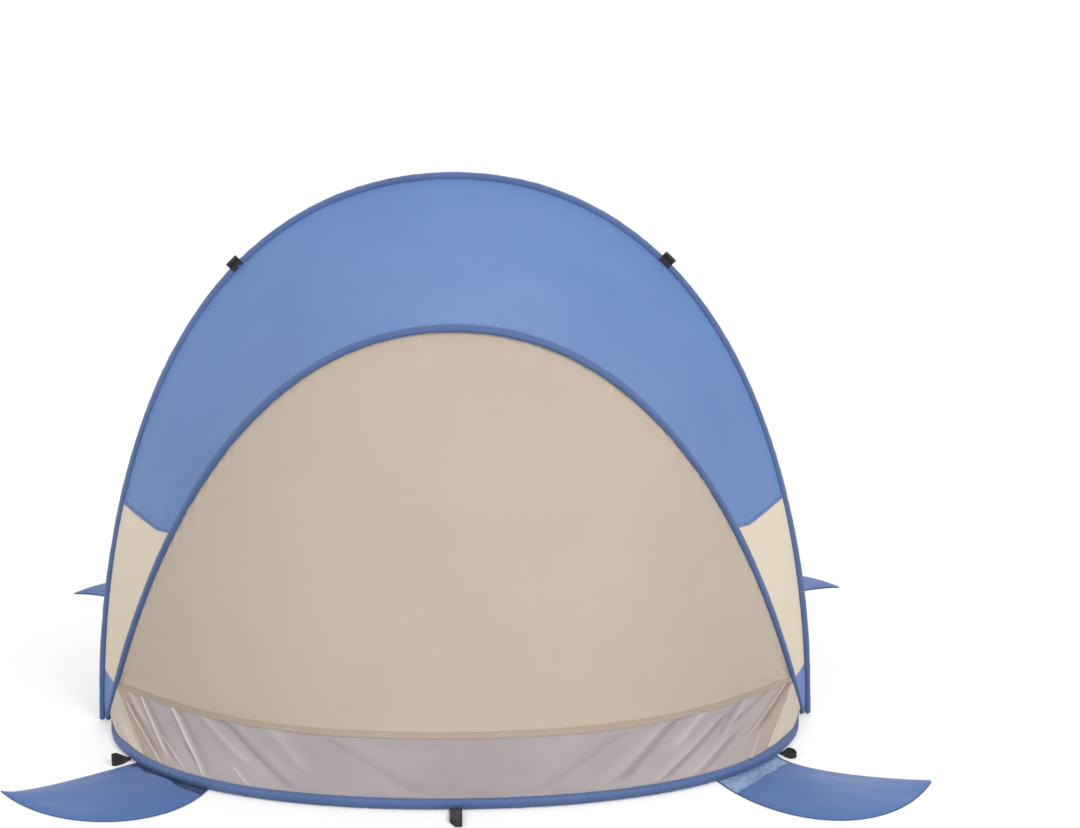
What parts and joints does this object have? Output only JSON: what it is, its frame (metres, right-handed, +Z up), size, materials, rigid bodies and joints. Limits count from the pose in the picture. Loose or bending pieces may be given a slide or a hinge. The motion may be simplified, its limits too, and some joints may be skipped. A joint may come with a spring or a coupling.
{
  "type": "beach tent",
  "caption": "Pop-up beach shelter: sprung wire arches carry a roof and a rear wall with a mesh vent, over a ground sheet with flat sand pockets; it folds down about its corners.",
  "frame": {"origin": "on the ground, midway between the two corners where all arches and hems meet", "axes": "+X along the corner line, towards the right corner as seen from behind; +Y from the rear wall towards the open entrance; +Z up"},
  "size_m": [1.856, 1.418, 1.1128],
  "materials": {
    "roof_blue": "satin",
    "sleeve_blue": "satin",
    "wall_beige": "matte",
    "side_beige": "matte",
    "vent_mesh": "matte",
    "ground_sheet": "satin",
    "webbing_black": "matte",
    "spring_steel": "satin"
  },
  "bodies": {
    "base": {"floor_rear": "ground_sheet", "rear_hem_wire": "spring_steel", "rear_hem_sleeve": "sleeve_blue", "rear_loop_ferrule": "spring_steel", "corner_tie_left": "webbing_black", "corner_tie_right": "webbing_black", "rear_wall": "wall_beige", "rear_vent": "vent_mesh", "vent_end_left": "side_beige", "vent_end_right": "side_beige", "sand_pocket_rear_left": "roof_blue", "sand_pocket_rear_right": "roof_blue", "pocket_lining_rear_left": "roof_blue", "pocket_lining_rear_right": "roof_blue", "peg_loop_rear_left": "webbing_black", "peg_loop_rear_middle": "webbing_black", "peg_loop_rear_right": "webbing_black"},
    "rear_arch": {"rear_arch_wire": "spring_steel", "rear_arch_sleeve": "sleeve_blue", "roof_panel": "roof_blue", "side_panel_left": "side_beige", "side_panel_right": "side_beige", "corner_gusset_left": "roof_blue", "corner_gusset_right": "roof_blue"},
    "front_arch": {"front_arch_wire": "spring_steel", "front_arch_sleeve": "sleeve_blue", "guy_tab_left": "webbing_black", "guy_tab_right": "webbing_black"},
    "front_floor": {"floor_front": "ground_sheet", "front_hem_wire": "spring_steel", "front_hem_sleeve": "sleeve_blue", "front_loop_ferrule": "spring_steel", "sand_pocket_front_left": "roof_blue", "sand_pocket_front_right": "roof_blue", "pocket_lining_front_left": "roof_blue", "pocket_lining_front_right": "roof_blue", "peg_loop_front_left": "webbing_black", "peg_loop_front_middle": "webbing_black", "peg_loop_front_right": "webbing_black"}
  },
  "joints": [
    {"name": "front_floor_fold", "type": "hinge", "parent": "base", "child": "front_floor", "pos_m": [0, 0, 0.0055], "axis": [1, 0, 0], "range_deg": [0, 150]},
    {"name": "rear_arch_fold", "type": "hinge", "parent": "base", "child": "rear_arch", "pos_m": [0, 0, 0.0055], "axis": [1, 0, 0], "range_deg": [0, 65], "stiffness_Nm_per_rad": 2, "springref_deg": -34.38, "deforming": ["rear_wall", "rear_vent", "vent_end_left", "vent_end_right"]},
    {"name": "front_arch_fold", "type": "hinge", "parent": "rear_arch", "child": "front_arch", "pos_m": [0, 0, 0.0055], "axis": [1, 0, 0], "range_deg": [0, 20], "stiffness_Nm_per_rad": 2, "springref_deg": -22.92, "deforming": ["roof_panel", "side_panel_left", "side_panel_right", "corner_gusset_left", "corner_gusset_right"]}
  ],
  "couplings": [
    {"joint": "rear_arch_fold", "follows": "front_floor_fold", "ratio": 0.4333},
    {"joint": "front_arch_fold", "follows": "front_floor_fold", "ratio": 0.1333}
  ]
}
